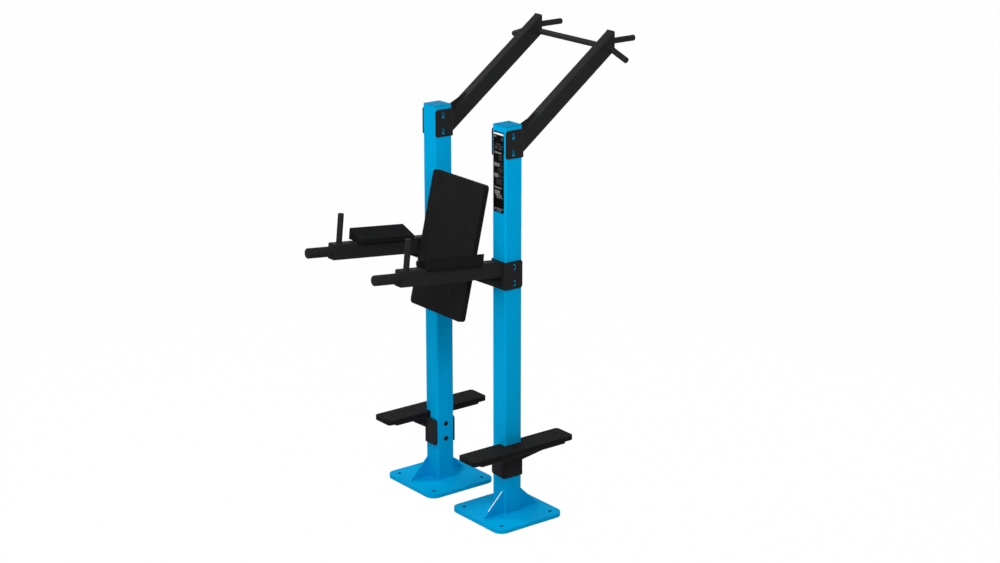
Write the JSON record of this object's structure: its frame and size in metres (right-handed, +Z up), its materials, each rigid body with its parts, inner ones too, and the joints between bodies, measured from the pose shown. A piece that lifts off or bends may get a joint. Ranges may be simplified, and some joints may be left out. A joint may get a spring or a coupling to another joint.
{
  "type": "dip station",
  "caption": "Outdoor dip and knee-raise station on square posts, with pull-up arms, a reclined backrest, forearm pads, vertical grips and side steps.",
  "frame": {"origin": "on the floor, midway between the two posts, which is also the middle of the part's box", "axes": "+Z up, +X from the left post to the right post as seen from the front, and the dip handles point to -Y, the front"},
  "size_m": [0.953, 1.544, 2.3289],
  "materials": {
    "blue_coat": "satin powder coat",
    "black_coat": "fine matt powder coat",
    "dark_steel": "black zinc plated",
    "handle_rubber": "matt moulded grip",
    "board_plastic": "fine-grained solid board",
    "pad_plastic": "moulded, matt",
    "panel_film": null
  },
  "bodies": {
    "root": {"left_post": "blue_coat", "right_post": "blue_coat", "left_post_cap": "blue_coat", "right_post_cap": "blue_coat", "left_base_plate": "blue_coat", "right_base_plate": "blue_coat", "left_front_base_rib": "blue_coat", "left_rear_base_rib": "blue_coat", "right_front_base_rib": "blue_coat", "right_rear_base_rib": "blue_coat", "left_pull_up_bracket": "black_coat", "right_pull_up_bracket": "black_coat", "left_pull_up_arm": "black_coat", "right_pull_up_arm": "black_coat", "left_pull_up_arm_end_plate": "black_coat", "right_pull_up_arm_end_plate": "black_coat", "left_pull_up_gusset": "black_coat", "right_pull_up_gusset": "black_coat", "left_side_grip": "black_coat", "right_side_grip": "black_coat", "left_rear_grip": "black_coat", "right_rear_grip": "black_coat", "pull_up_bar": "black_coat", "left_dip_bracket": "black_coat", "right_dip_bracket": "black_coat", "left_dip_bracket_lower_pin": "dark_steel", "left_dip_bracket_upper_pin": "dark_steel", "right_dip_bracket_lower_pin": "dark_steel", "right_dip_bracket_upper_pin": "dark_steel", "left_dip_arm": "black_coat", "right_dip_arm": "black_coat", "left_dip_arm_end_plate": "black_coat", "right_dip_arm_end_plate": "black_coat", "left_dip_gusset": "black_coat", "right_dip_gusset": "black_coat", "left_dip_handle": "handle_rubber", "right_dip_handle": "handle_rubber", "left_vertical_grip": "black_coat", "right_vertical_grip": "black_coat", "left_forearm_pad": "pad_plastic", "right_forearm_pad": "pad_plastic", "backrest_board": "board_plastic", "backrest_crossbar": "black_coat", "left_backrest_upright": "black_coat", "right_backrest_upright": "black_coat", "left_step_board": "board_plastic", "right_step_board": "board_plastic", "left_step_support": "black_coat", "right_step_support": "black_coat", "left_step_bracket": "black_coat", "right_step_bracket": "black_coat", "left_step_lower_bolt": "dark_steel", "left_step_upper_bolt": "dark_steel", "right_step_lower_bolt": "dark_steel", "right_step_upper_bolt": "dark_steel", "info_panel": "panel_film"}
  },
  "joints": []
}
